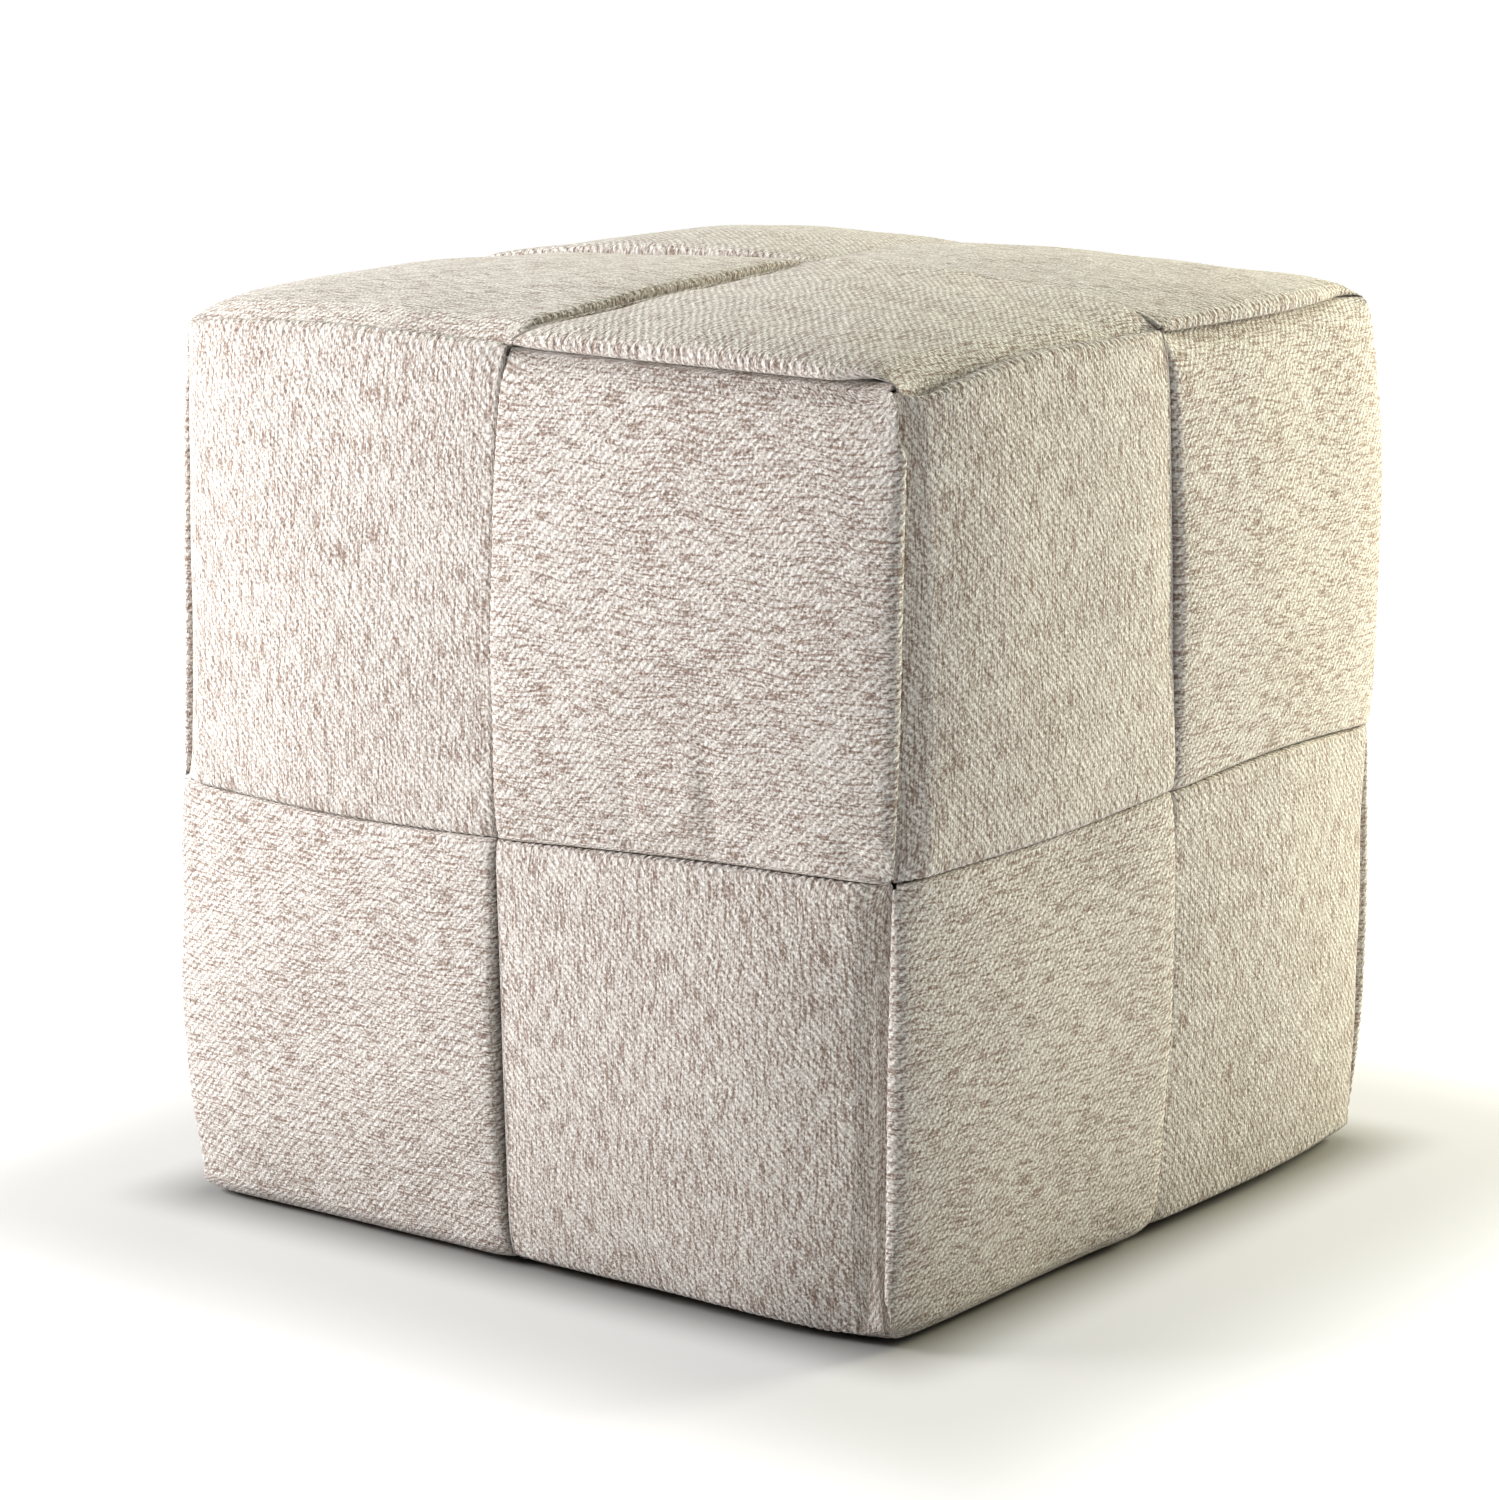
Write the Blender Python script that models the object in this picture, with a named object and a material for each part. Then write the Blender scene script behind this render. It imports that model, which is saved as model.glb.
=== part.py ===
"""Cube pouf stool: six padded cloth bands woven over and under round a filled cube.

Two bands run round each axis of the cube. Each face shows a pinwheel of four cells. In each cell
one band lies on top and the band that crosses it passes below. A band's long edges are rolled and
free, and its ends dip under its neighbours.

Metres, +Z up, front towards -Y, origin at the middle of the underside.
"""
import math
from collections import namedtuple

import bmesh
import bpy
from mathutils import Vector

# Driving sizes, in metres.
MM = 0.001
HEIGHT = 0.406          # between the outsides of the top layers, at the cube's edges
WIDTH_SHARE = 0.971     # the stool is a little narrower than it is high
HALF = HEIGHT / 2
PAD = 8.0 * MM          # padded band where it lies on top
PAD_UNDERSIDE = 2.0 * MM  # the same band, pressed flat by the weight
TUCK = 4.5 * MM         # the band where it is pinched under another
GAP = 0.6 * MM          # between layers
BODY_GAP = 0.9 * MM     # between the filled body and the lowest layer
ROUND = 15.0 * MM       # outer radius where a band turns round an edge of the cube
ROUND_UNDERSIDE = 9.0 * MM
NEAR_OPEN = 1.0 * MM    # free edge on top, from the middle line of the face
NEAR_TUCK = 4.5 * MM    # the same edge where the band is tucked
FAR_OPEN = 6.0 * MM     # free edge on top, in from the cube's edge
FAR_OPEN_UNDERSIDE = 12.0 * MM
START_LENGTH = 100.0 * MM  # over which that edge reaches it from a corner of the cube
LINE_START = 0.5        # share of the top stretch after which it follows the line it dips at
DIP_EDGE_SHARES = (0.15, 0.55)  # how far the edges have narrowed at each shoulder section
SHOULDER_LEAN = 2.0 * MM  # how much longer the shoulder is below than its dip
FLAT_SHARE = 0.6        # part of the crown that the edges of a cell keep
BULGE_SIDE = 7.5 * MM   # how far the middle of a side face swells
BULGE_LEFT = 1.0 * MM   # the same on the left, where it is flatter
BULGE_TOP = 12.0 * MM   # how far the middle of the top swells
TOP_RIGHT = 10.0 * MM   # how far the same swelling leans to the right
TOP_BACK = 8.0 * MM     # and towards the back
MIDDLE_LEFT = 5.0 * MM  # how far the middle line of the front lies to the left
MIDDLE_BACK = 3.5 * MM  # how far the middle lines of the sides lie towards the back
BODY_BEVEL = 6.0 * MM
BODY_CUTS = 6

CLOTH = (0.66, 0.59, 0.51)
BODY_CLOTH = (0.40, 0.34, 0.28)
CLOTH_ROUGHNESS = 0.95

# How each band turns: the side of the cube it lies on, and the first face and travel direction.
Band = namedtuple("Band", "name axis first_face travel")
BANDS = (
    Band("band_right", (1, 0, 0), (0, 1, 0), (0, 0, 1)),
    Band("band_left", (-1, 0, 0), (0, 0, 1), (0, 1, 0)),
    Band("band_back", (0, 1, 0), (0, 0, 1), (1, 0, 0)),
    Band("band_front", (0, -1, 0), (1, 0, 0), (0, 0, 1)),
    Band("band_upper", (0, 0, 1), (1, 0, 0), (0, 1, 0)),
    Band("band_lower", (0, 0, -1), (0, 1, 0), (1, 0, 0)),
)

# How each cell that shows is padded, in millimetres: height of its crown, swell of its free edge
# at the middle of the face, swell of its free edge at the cube's edge, how far an open slit draws
# the first of those edges back, and how far in the second lies where it starts at a corner.
FACE_WORDS = {(0, -1, 0): "front", (1, 0, 0): "right", (-1, 0, 0): "left", (0, 0, 1): "top"}
Cell = namedtuple("Cell", "crown near_bow far_bow slit far_start")
CELLS = {
    "front top left": Cell(3.5, 1.5, 2.0, 0.0, 8.0),
    "front top right": Cell(4.5, 1.5, 3.5, 0.0, 2.0),
    "front bottom left": Cell(3.5, 1.0, 2.0, 2.5, 13.0),
    "front bottom right": Cell(4.0, 2.5, 0.0, 0.0, 3.0),
    "right top near": Cell(3.5, 2.0, 2.0, 0.0, 14.0),
    "right top far": Cell(3.0, 1.0, 2.0, 1.5, 12.0),
    "right bottom near": Cell(4.0, 1.5, 3.0, 0.0, 3.0),
    "right bottom far": Cell(3.5, 3.0, 0.0, 0.0, 10.0),
    "top near left": Cell(3.5, 3.0, 2.0, 0.0, 15.0),
    "top near right": Cell(4.0, 1.5, 3.0, 0.0, 3.0),
    "top far right": Cell(3.5, 1.5, 3.0, 0.0, 15.0),
    "top far left": Cell(5.0, 1.0, 2.0, 3.0, 10.0),
    "left top near": Cell(-1.0, 1.0, -3.0, 0.0, 12.0),
    "left bottom near": Cell(0.0, 1.0, 1.0, 0.0, 8.0),
}
OTHER_CELL = Cell(3.5, 1.5, 2.0, 0.0, 10.0)
UNDERSIDE_CELL = Cell(0.0, 0.0, 0.0, 0.0, 0.0)

# How far the middle line of the sides hangs below half height, in millimetres, at the left, at
# the middle and at the right: first along the front, then half way back, then along the back.
Hang = namedtuple("Hang", "left middle right")
MIDDLE_HANG = (Hang(11.0, 12.0, 6.0), Hang(7.0, 5.0, 0.5), Hang(5.0, 4.0, 3.0))

# Steps of a band's sections along one face, and of the points round one section.
CORNER_ANGLES = (0, 30, 60)
TOP_STATIONS = (0.0, 0.07, 0.34, 0.66, 0.93)
SHOULDER_ANGLES = (0, 45)
NEST_ANGLES = (0, 30, 60)
TUCKED_STATIONS = (0.0, 0.33, 0.66)
ROLL_ANGLES = (-90, -45, 0, 45, 90)
OUTER_STATIONS = (0.8, 0.6, 0.4, 0.2)
INNER_STATIONS = (0.33, 0.67)

# One section of a band. Outer and inner are (along, out) points in the plane of the band, the
# edges are distances from the middle line, and line_share is how much of the curve of the line
# between two cells the section follows.
Section = namedtuple("Section", "outer inner near far_outer far_inner crown line_share")


def pad_of(face):
    """Thickness of the top layer on a face."""
    return PAD_UNDERSIDE if face[2] < 0 else PAD


def tuck_outer(face):
    """Distance from the cube's centre to the outside of the tucked layer."""
    return HALF - pad_of(face) - GAP


def tuck_inner(face):
    """Distance from the cube's centre to the inside of the tucked layer."""
    return tuck_outer(face) - TUCK


def round_between(one, other):
    """Outer radius of the band where it turns from one face to the other."""
    return ROUND_UNDERSIDE if min(one[2], other[2]) < 0 else ROUND


def cell_at(face, corner):
    """The padding of the cell on a face that lies towards a corner of the cube."""
    if face[2] < 0:
        return UNDERSIDE_CELL
    face_word = FACE_WORDS.get(tuple(face), "hidden")
    side_words = ((2, "bottom", "top"), (1, "near", "far"), (0, "left", "right"))
    words = [high if corner[i] > 0 else low for i, low, high in side_words if face[i] == 0]
    return CELLS.get(" ".join([face_word] + words), OTHER_CELL)


def swell(along):
    """Share of a swelling at a distance from the middle line: none at both ends of a cell."""
    return math.sin(math.pi * min(max(abs(along) / HALF, 0.0), 1.0))


def turned(centre, radius, degrees):
    """A point on a circle."""
    angle = math.radians(degrees)
    return (centre[0] + radius * math.cos(angle), centre[1] + radius * math.sin(angle))


def far_edge(face, cell, travelled):
    """Distance from the middle line to the free edge nearest the cube's edge, for the top layer."""
    if face[2] < 0:
        return HALF - FAR_OPEN_UNDERSIDE
    to_go = max(1 - travelled / START_LENGTH, 0.0) ** 2
    return HALF - FAR_OPEN - (cell.far_start * MM - FAR_OPEN) * to_go


def corner_sections(previous, face, cell, far_tuck):
    """The band comes up from under the previous face's top layer, round the cube's edge."""
    fillet = TUCK / 2 + GAP
    radius = round_between(previous, face)
    outer_centre = (radius - tuck_outer(previous), HALF - radius)
    inner_centre = (fillet - tuck_inner(previous), HALF - pad_of(face) - fillet)
    far_open = far_edge(face, cell, 0.0)
    sections = []
    for angle in CORNER_ANGLES:
        outer = turned(outer_centre, radius, 180 - angle)
        inner = turned(inner_centre, fillet, 180 - angle)
        above = outer[1] - (HALF - pad_of(face))
        share = min(max(2 * above / pad_of(face), 0.0), 1.0)
        near = NEAR_TUCK + (NEAR_OPEN - NEAR_TUCK) * share
        far_outer = far_tuck + (far_open - far_tuck) * share
        sections.append(Section(outer, inner, near, far_outer, far_tuck, 0.0, 0.0))
    return sections


def top_sections(previous, face, cell, far_tuck):
    """The band lies on top, with a crown, as far as the shoulder where it starts to dip."""
    start = round_between(previous, face) - tuck_outer(previous)
    end = NEAR_OPEN - GAP - pad_of(face) / 2
    sections = []
    for station in TOP_STATIONS:
        along = start + (end - start) * station
        near = NEAR_OPEN + (cell.slit - cell.near_bow) * MM * swell(along)
        far = far_edge(face, cell, along - start) + cell.far_bow * MM * swell(along)
        far_inner = far_tuck if station == 0.0 else far
        line_share = max(0.0, (station - LINE_START) / (1 - LINE_START))
        crown = cell.crown * MM * swell(along)
        outer = (along, HALF)
        inner = (along, HALF - pad_of(face))
        sections.append(Section(outer, inner, near, far, far_inner, crown, line_share))
    return sections


def dip_sections(face, cell, far_tuck):
    """The band dips under its neighbour: a round shoulder, then a hollow round that free edge."""
    far_open = far_edge(face, cell, START_LENGTH)
    half_pad = pad_of(face) / 2
    shoulder = (NEAR_OPEN - GAP - half_pad, HALF - half_pad)
    nest = (NEAR_OPEN + half_pad, HALF - half_pad)
    inner_radius = half_pad + GAP + TUCK
    inner_start = 180 + math.degrees(math.asin(half_pad / inner_radius))
    inner_edge = turned(nest, inner_radius, inner_start)
    sections = []
    for angle, share in zip(SHOULDER_ANGLES, DIP_EDGE_SHARES):
        outer = turned(shoulder, half_pad, 90 - angle)
        inner = (inner_edge[0] - SHOULDER_LEAN * (1 - angle / 90), inner_edge[1])
        near = NEAR_OPEN + (NEAR_TUCK - NEAR_OPEN) * share
        far = far_open + (far_tuck - far_open) * share
        sections.append(Section(outer, inner, near, far, far_tuck, 0.0, 1.0))
    for angle in NEST_ANGLES:
        outer = turned(nest, half_pad + GAP, 180 + angle)
        inner = turned(nest, inner_radius, inner_start + (270 - inner_start) * angle / 90)
        sections.append(Section(outer, inner, NEAR_TUCK, far_tuck, far_tuck, 0.0, 1.0))
    return sections


def tucked_sections(face, following, far_tuck):
    """The thin stretch below a neighbour, as far as the cube's next edge."""
    start = NEAR_OPEN + pad_of(face) / 2
    outer_end = HALF - round_between(face, following)
    inner_end = HALF - pad_of(following) - TUCK / 2 - GAP
    sections = []
    for station in TUCKED_STATIONS:
        outer = (start + (outer_end - start) * station, tuck_outer(face))
        inner = (start + (inner_end - start) * station, tuck_inner(face))
        line_share = 1.0 if station == 0.0 else 0.0
        sections.append(Section(outer, inner, NEAR_TUCK, far_tuck, far_tuck, 0.0, line_share))
    return sections


def section_points(section, line_bow):
    """Points round one section, as (along, out, across), with rolled edges."""
    outer = Vector(section.outer)
    inner = Vector(section.inner)
    roll = min((outer - inner).length / 2, PAD / 2)
    ring = []
    for angle in ROLL_ANGLES:
        height = (1 + math.sin(math.radians(angle))) / 2
        edge = section.far_inner + (section.far_outer - section.far_inner) * height
        ring.append((height, edge - roll * (1 - math.cos(math.radians(angle)))))
    top_far = section.far_outer - roll
    top_near = section.near + roll
    for station in OUTER_STATIONS:
        ring.append((1.0, top_near + (top_far - top_near) * station))
    for angle in reversed(ROLL_ANGLES):
        height = (1 + math.sin(math.radians(angle))) / 2
        ring.append((height, section.near + roll * (1 - math.cos(math.radians(angle)))))
    low_far = section.far_inner - roll
    for station in INNER_STATIONS:
        ring.append((0.0, top_near + (low_far - top_near) * station))
    points = []
    for height, across in ring:
        along, out = inner + (outer - inner) * height
        middle = max(1 - (2 * across / HALF - 1) ** 2, 0.0)
        out += section.crown * height * (FLAT_SHARE + (1 - FLAT_SHARE) * middle)
        along -= line_bow * section.line_share * swell(across)
        points.append((along, out, across))
    return points


def through(values, part):
    """The curve through a low, a middle and a high value, at a part from -1 to 1 of the way."""
    low, middle, high = values
    return middle * (1 - part ** 2) + part * ((high - low) + (high + low) * part) / 2


def swollen(point):
    """A point of the plain cube, moved as the filling swells the faces and the middle lines lie."""
    part = [value / HALF for value in point]
    flat = [max(0.0, 1 - value * value) for value in part]
    moved = Vector(point)
    sideways = BULGE_LEFT if part[0] < 0 else BULGE_SIDE
    moved.x += sideways * part[0] * flat[1] * flat[2] - MIDDLE_LEFT * flat[0]
    moved.y += BULGE_SIDE * part[1] * flat[0] * flat[2] + MIDDLE_BACK * flat[1]
    if part[2] > 0:
        moved += Vector((TOP_RIGHT, TOP_BACK, BULGE_TOP)) * part[2] ** 2 * flat[0] * flat[1]
    hang_here = through([through(row, part[0]) for row in MIDDLE_HANG], part[1])
    moved.z += HALF - hang_here * MM * flat[2]
    moved.x *= WIDTH_SHARE
    moved.y *= WIDTH_SHARE
    return moved


def band_rings(band):
    """All sections of one band in order round the cube, as rings of world points."""
    axis = Vector(band.axis)
    face = Vector(band.first_face)
    travel = Vector(band.travel)
    far_tuck = tuck_inner(axis) - GAP
    rings = []
    for _quarter in range(4):
        previous = -travel
        cell = cell_at(face, face - travel + axis)
        cover = cell_at(face, face + travel + axis)
        sections = corner_sections(previous, face, cell, far_tuck)
        sections += top_sections(previous, face, cell, far_tuck)
        sections += dip_sections(face, cell, far_tuck)
        sections += tucked_sections(face, travel, far_tuck)
        for section in sections:
            points = section_points(section, cover.near_bow * MM)
            rings.append([swollen(travel * u + face * v + axis * w) for u, v, w in points])
        face, travel = travel, -face
    return rings


def cloth_material(name, colour):
    material = bpy.data.materials.new(name)
    material.use_nodes = True
    shader = material.node_tree.nodes["Principled BSDF"]
    shader.inputs["Base Color"].default_value = (*colour, 1.0)
    shader.inputs["Roughness"].default_value = CLOTH_ROUGHNESS
    shader.inputs["Metallic"].default_value = 0.0
    return material


def add_object(name, mesh_source, material):
    """Turn finished bmesh geometry into a named object with its own material."""
    bmesh.ops.recalc_face_normals(mesh_source, faces=mesh_source.faces)
    mesh = bpy.data.meshes.new(name)
    mesh_source.to_mesh(mesh)
    mesh_source.free()
    mesh.materials.append(material)
    mesh.shade_smooth()
    body = bpy.data.objects.new(name, mesh)
    bpy.context.scene.collection.objects.link(body)
    return body


def build_band(band):
    """One closed band: a ring of vertices for each section, joined to the next all the way round."""
    source = bmesh.new()
    rings = [[source.verts.new(point) for point in ring] for ring in band_rings(band)]
    for ring, following in zip(rings, rings[1:] + rings[:1]):
        for i, vertex in enumerate(ring):
            j = (i + 1) % len(ring)
            source.faces.new((vertex, ring[j], following[j], following[i]))
    return add_object(band.name, source, cloth_material(band.name + "_cloth", CLOTH))


def build_body():
    """The filled cube that the bands wrap, with softened edges and the same swelling."""
    half = tuck_inner((1, 0, 0)) - BODY_GAP
    low = -(tuck_inner((0, 0, -1)) - BODY_GAP)
    source = bmesh.new()
    bmesh.ops.create_cube(source, size=2 * half)
    for vertex in source.verts:
        if vertex.co.z < 0:
            vertex.co.z = low
    bmesh.ops.subdivide_edges(source, edges=source.edges[:], cuts=BODY_CUTS, use_grid_fill=True)
    sharp = [edge for edge in source.edges if edge.calc_face_angle() > 0.5]
    bmesh.ops.bevel(source, geom=sharp, offset=BODY_BEVEL, segments=2, profile=0.5,
                    affect="EDGES")
    for vertex in source.verts:
        vertex.co = swollen(vertex.co)
    return add_object("filled_body", source, cloth_material("body_cloth", BODY_CLOTH))


def centre_on_origin(pieces):
    """Move all pieces together, so that the origin is below the middle of their box."""
    points = [vertex.co for piece in pieces for vertex in piece.data.vertices]
    low = [min(point[i] for point in points) for i in range(3)]
    high = [max(point[i] for point in points) for i in range(3)]
    shift = Vector((-(low[0] + high[0]) / 2, -(low[1] + high[1]) / 2, -low[2]))
    for point in points:
        point += shift


def clear_scene():
    for existing in list(bpy.data.objects):
        bpy.data.objects.remove(existing, do_unlink=True)


def main():
    clear_scene()
    pieces = [build_body()]
    pieces += [build_band(band) for band in BANDS]
    centre_on_origin(pieces)


main()
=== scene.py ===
"""Looks of a cube pouf stool: six padded chenille bands woven round a filled cube.

Laid out as an add-on and run as a script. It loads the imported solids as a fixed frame, puts a
ribbed cloth band in the place of each solid band, dresses the filled body, and sets a plain stage
with soft light and the photograph's viewing angle.

Metres, +Z up, front towards -Y, origin at the middle of the underside.
"""

import math
from collections import namedtuple

import bmesh
import bpy
import numpy as np
from bpy.props import FloatProperty, FloatVectorProperty, PointerProperty
from mathutils import Matrix, Vector


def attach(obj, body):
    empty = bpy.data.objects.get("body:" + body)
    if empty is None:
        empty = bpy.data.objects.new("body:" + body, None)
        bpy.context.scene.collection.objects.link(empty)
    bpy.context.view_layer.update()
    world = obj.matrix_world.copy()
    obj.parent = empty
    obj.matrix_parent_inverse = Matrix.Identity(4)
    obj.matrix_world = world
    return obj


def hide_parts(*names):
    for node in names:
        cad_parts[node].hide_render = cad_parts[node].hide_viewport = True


bl_info = {
    "name": "Woven Band Pouf",
    "version": (1, 0, 0),
    "blender": (4, 5, 0),
    "location": "View3D > Sidebar > Pouf",
    "description": "Dresses the packed solids of a cube pouf in woven, padded cloth bands",
    "category": "Object",
}

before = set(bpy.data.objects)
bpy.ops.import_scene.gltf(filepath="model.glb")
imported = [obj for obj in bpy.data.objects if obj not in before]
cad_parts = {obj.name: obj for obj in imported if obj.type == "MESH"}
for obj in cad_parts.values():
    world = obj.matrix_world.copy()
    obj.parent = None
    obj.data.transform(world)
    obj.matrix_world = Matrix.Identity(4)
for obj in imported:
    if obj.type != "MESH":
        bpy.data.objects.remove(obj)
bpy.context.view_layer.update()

# Sizes that the solids have too, in metres.
MM = 0.001
HEIGHT = 0.406            # between the outsides of the top layers, at the cube's edges
WIDTH_SHARE = 0.971       # the stool is a little narrower than it is high
HALF = HEIGHT / 2
PAD = 8.0 * MM            # padded band where it lies on top
PAD_UNDERSIDE = 2.0 * MM  # the same band, pressed flat by the weight
TUCK = 4.5 * MM           # the band where it is pinched under another
GAP = 0.6 * MM            # between layers
BODY_GAP = 0.9 * MM       # between the filled body and the lowest layer
BODY_ROUND = 6.0 * MM     # radius of the filled body's edges
ROUND = 15.0 * MM         # outer radius where a band turns round an edge of the cube
ROUND_UNDERSIDE = 9.0 * MM
NEAR_TUCK = 4.5 * MM      # free edge of a tucked band, from the middle line of the face
FAR_OPEN = 6.0 * MM       # free edge on top, in from the cube's edge
FAR_OPEN_UNDERSIDE = 12.0 * MM
START_LENGTH = 100.0 * MM  # over which that edge reaches it from a corner of the cube
LINE_START = 0.5          # share of the top stretch after which it follows the line it dips at
SHOULDER_LEAN = 2.0 * MM  # how much longer the shoulder is below than its dip
FLAT_SHARE = 0.6          # part of the crown that the edges of a cell keep
BULGE_SIDE = 7.5 * MM     # how far the middle of a side face swells
BULGE_LEFT = 1.0 * MM     # the same on the left, where it is flatter
BULGE_TOP = 12.0 * MM     # how far the middle of the top swells
TOP_RIGHT = 10.0 * MM     # how far the same swelling leans to the right
TOP_BACK = 8.0 * MM       # and towards the back
MIDDLE_LEFT = 5.0 * MM    # how far the middle line of the front lies to the left
MIDDLE_BACK = 3.5 * MM    # how far the middle lines of the sides lie towards the back
CENTRING = (-2.714 * MM, 0.353 * MM, 0.0)  # moves the stool's box over the origin

# How far the middle line of the sides hangs below half height, in millimetres, at the left, at
# the middle and at the right: first along the front, then half way back, then along the back.
MIDDLE_HANG = ((11.0, 12.0, 6.0), (7.0, 5.0, 0.5), (5.0, 4.0, 3.0))

# Where the cloth is finer than the solids.
NEAR_OPEN = 0.4 * MM      # free edge on top, from the middle line of the face
NEAR_EARLY = 3.4 * MM     # a starting cell's free edge begins to move there so far below the top
NEAR_RISE = 2.0 * MM      # layer, and gets there over this height
FAR_RISE = 0.8            # share of the pad over which its other free edge draws out
INSIDE_SETTLE = 0.07      # share of the top stretch over which the inside of that edge follows
LINE_FADE = 3.0           # a tucked stretch leaves the line it dips at in one part out of three
SEEN_GAP = 0.15 * MM      # between a dipping shoulder and the edge that it dips under

# The side of the cube that a band lies on, and its first face and travel direction.
Band = namedtuple("Band", "name axis first_face travel")
BANDS = (
    Band("band_right", (1, 0, 0), (0, 1, 0), (0, 0, 1)),
    Band("band_left", (-1, 0, 0), (0, 0, 1), (0, 1, 0)),
    Band("band_back", (0, 1, 0), (0, 0, 1), (1, 0, 0)),
    Band("band_front", (0, -1, 0), (1, 0, 0), (0, 0, 1)),
    Band("band_upper", (0, 0, 1), (1, 0, 0), (0, 1, 0)),
    Band("band_lower", (0, 0, -1), (0, 1, 0), (1, 0, 0)),
)

# How each cell is padded, in millimetres: height of its crown, swell of its free edge at the
# middle of the face, swell of its free edge at the cube's edge, how far an open slit draws the
# first of those edges back, how far in the second lies where it starts at a corner, and how much
# lower the cell lies where it dips under its neighbour and where it starts.
FACE_WORDS = {(0, -1, 0): "front", (1, 0, 0): "right", (-1, 0, 0): "left", (0, 0, 1): "top"}
Cell = namedtuple("Cell", "crown near_bow far_bow slit far_start sink start_sink")
CELLS = {
    "front top left": Cell(3.5, 1.5, 2.0, 0.0, 8.0, 0.4, 3.0),
    "front top right": Cell(4.5, 1.5, 3.5, 0.0, 2.0, 2.2, 3.0),
    "front bottom left": Cell(3.5, 1.0, 2.0, 2.5, 13.0, 0.6, 3.0),
    "front bottom right": Cell(4.0, 2.5, 0.0, 0.0, 3.0, 2.0, 11.0),
    "right top near": Cell(3.5, 2.0, 2.0, 0.0, 14.0, 2.0, 5.0),
    "right top far": Cell(3.0, 1.0, 2.0, 1.5, 12.0, 0.6, 3.0),
    "right bottom near": Cell(4.0, 1.5, 3.0, 0.0, 3.0, 1.0, 3.0),
    "right bottom far": Cell(3.5, 3.0, 0.0, 0.0, 10.0, 0.3, 3.0),
    "top near left": Cell(3.5, 3.0, 2.0, 0.0, 15.0, 5.0, 3.0),
    "top near right": Cell(4.0, 1.5, 3.0, 0.0, 3.0, 5.0, 3.0),
    "top far right": Cell(3.5, 1.5, 3.0, 0.0, 15.0, 0.3, 3.0),
    "top far left": Cell(5.0, 1.0, 2.0, 3.0, 10.0, 0.6, 3.0),
    "left top near": Cell(-1.0, 1.0, -3.0, 0.0, 12.0, 1.0, 3.0),
    "left bottom near": Cell(0.0, 1.0, 1.0, 0.0, 8.0, 1.0, 3.0),
}
OTHER_CELL = Cell(3.5, 1.5, 2.0, 0.0, 10.0, 1.0, 3.0)
UNDERSIDE_CELL = Cell(0.0, 0.0, 0.0, 0.0, 0.0, 0.0, 0.0)

# Soft pleats and dimples pressed into a cell. Along and across are shares of the cell from where
# it starts and from the middle line, the sizes and depth are in millimetres, and turn is in
# degrees from the direction in which the band runs. A depth below zero makes a ridge.
Dent = namedtuple("Dent", "along across long wide turn depth")
DENTS = {
    "front top right": (
        Dent(0.86, 0.56, 26.0, 3.0, 3.0, 2.2),
        Dent(0.84, 0.52, 22.0, 3.5, -6.0, -1.0),
        Dent(0.95, 0.90, 9.0, 3.0, 35.0, 2.2),
        Dent(0.97, 0.96, 8.0, 3.0, 20.0, 2.0),
        Dent(0.90, 0.36, 20.0, 5.0, 8.0, 1.1)),
    "top near right": (
        Dent(0.66, 0.03, 12.0, 9.0, 40.0, 2.6),
        Dent(0.52, 0.03, 10.0, 8.0, 40.0, 2.2),
        Dent(0.60, 0.10, 22.0, 5.0, 62.0, -0.9)),
    "front top left": (Dent(0.55, 0.03, 30.0, 4.0, 90.0, 0.5),),
    "front bottom left": (Dent(0.90, 0.90, 10.0, 4.0, 30.0, 1.2),),
    "right bottom near": (Dent(0.97, 0.97, 8.0, 5.0, 45.0, 1.5),),
}

# How much lower a cell lies at its edges and ends, and how far in from each that reaches.
NEAR_DROOP = 0.5 * MM     # at its free edge on the middle line of the face
NEAR_DROOP_WIDTH = 14.0 * MM
FAR_DROOP = 2.6 * MM      # at its free edge on the cube's edge
FAR_DROOP_WIDTH = 42.0 * MM
SINK_WIDTH = 26.0 * MM    # where it dips, by the cell's own sink
START_SINK_WIDTH = 75.0 * MM  # where it starts, by the cell's own start sink
START_SINK_RISE = 40.0 * MM   # across the band, over which that one grows from the middle line

# The gentle waves of the padding and the ribs of the cloth.
SEED = 11
WAVES = 7
WAVE_LENGTHS = (0.05, 0.14)
WANDER_SHORTER = 2        # how many times shorter the waves are in which the ribs stray
WANDER_FADE = 30.0 * MM   # from both ends of a cell, over which they begin to
RIB_FLAT_SHARE = 0.15     # depth of the ribs on the flat, as a share of that on the edges
RIB_EDGE_WIDTH = 6.0 * MM  # over which they grow to their full depth at the edges
RIB_STRENGTHS = (0.6, 1.2)  # least and most of the depth that one rib may have

# Where several bands meet: how many sides of the cube meet there, how far out the place lies, how
# far its pull reaches, both in millimetres, and the share by which the cloth is drawn to it.
Meeting = namedtuple("Meeting", "sides depth reach pull")
MEETINGS = (
    Meeting(1, 199.0, 6.0, 0.75),
    Meeting(2, 197.0, 8.5, 0.85),
    Meeting(3, 195.0, 9.5, 0.85),
)

# How square the rolls are: 2 for a circle, more where two layers press against each other.
EDGE_SQUARENESS = 2.3
SEAM_SQUARENESS = 3.6

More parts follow.
